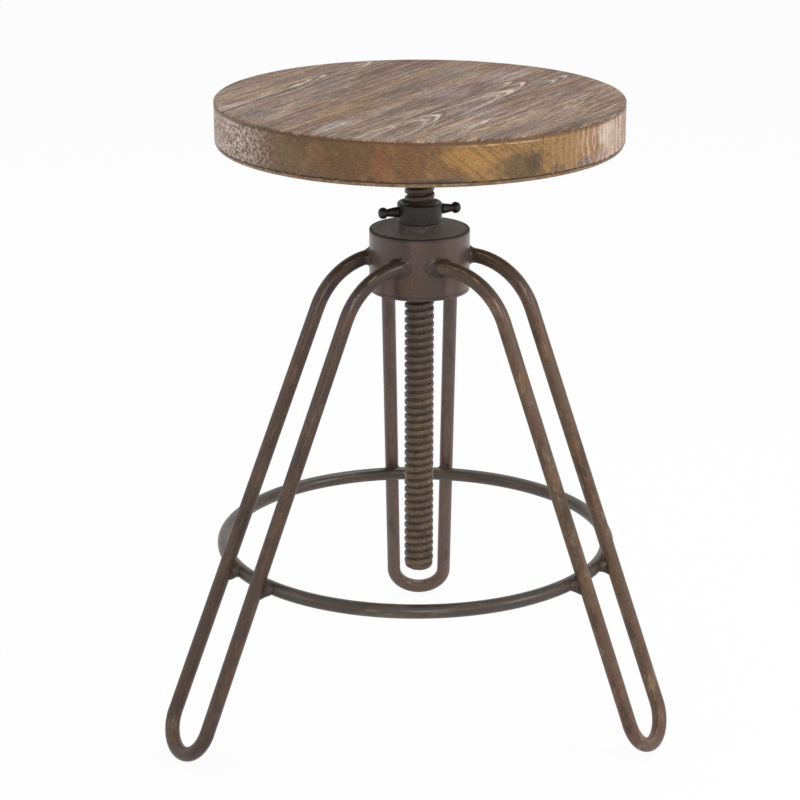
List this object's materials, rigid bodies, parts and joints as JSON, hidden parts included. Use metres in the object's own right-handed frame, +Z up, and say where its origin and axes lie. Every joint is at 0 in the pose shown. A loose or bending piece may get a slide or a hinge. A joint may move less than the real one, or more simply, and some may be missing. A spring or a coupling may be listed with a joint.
{
  "type": "adjustable swivel stool",
  "caption": "Round plank seat on a coarse jack screw that slides through a drum hub; a collar with thumb screws sets the height. Hairpin rod legs and a ring footrest.",
  "frame": {"origin": "on the screw's axis at floor level, midway between the feet", "axes": "+Z up along the screw, +Y towards the leg that points away from the viewer, +X to the viewer's right"},
  "size_m": [0.4384, 0.4251, 0.552],
  "materials": {
    "weathered_wood": "grey-brown, lime washed, dull",
    "honey_wood": "oiled, worn",
    "brown_iron": "rust-brown patina, worn",
    "grey_iron": "grey patina, chipped",
    "dark_iron": "dark, dull"
  },
  "bodies": {
    "frame": {"guide_bush": "grey_iron", "hub_top_plate": "grey_iron", "hub_shell": "brown_iron", "hub_bottom_plate": "grey_iron", "leg_rear": "brown_iron", "leg_left": "brown_iron", "leg_right": "brown_iron", "footrest_ring": "brown_iron", "hub_welds": "grey_iron", "ring_welds": "brown_iron"},
    "swivel": {"thrust_washer": "grey_iron"},
    "collar": {"lock_collar": "dark_iron"},
    "thumb_left": {"thumbscrew_left": "dark_iron"},
    "thumb_right": {"thumbscrew_right": "dark_iron"},
    "seat": {"screw_spindle": "brown_iron", "seat_flange": "dark_iron", "flange_screws": "dark_iron", "seat_plank_1": "weathered_wood", "seat_plank_2": "weathered_wood", "seat_plank_3": "weathered_wood", "seat_plank_4": "weathered_wood", "seat_plank_5": "weathered_wood", "seat_backing": "honey_wood"}
  },
  "joints": [
    {"name": "seat_swivel", "type": "hinge", "parent": "frame", "child": "swivel", "pos_m": [0, 0, 0.4423], "axis": [0, 0, 1], "continuous": true},
    {"name": "seat_lift", "type": "slide", "parent": "swivel", "child": "seat", "axis": [0, 0, 1], "range_m": [-0.0395, 0.2]},
    {"name": "collar_turn", "type": "hinge", "parent": "swivel", "child": "collar", "pos_m": [0, 0, 0.4523], "axis": [0, 0, -1], "range_deg": [-2093, 10590]},
    {"name": "thumb_left_slide", "type": "slide", "parent": "collar", "child": "thumb_left", "axis": [-0.9455, -0.3256, 0], "range_m": [0, 0.003]},
    {"name": "thumb_right_slide", "type": "slide", "parent": "collar", "child": "thumb_right", "axis": [0.9455, 0.3256, 0], "range_m": [0, 0.003]}
  ],
  "couplings": [
    {"joint": "collar_turn", "follows": "seat_lift", "rad_per_m": 924}
  ]
}
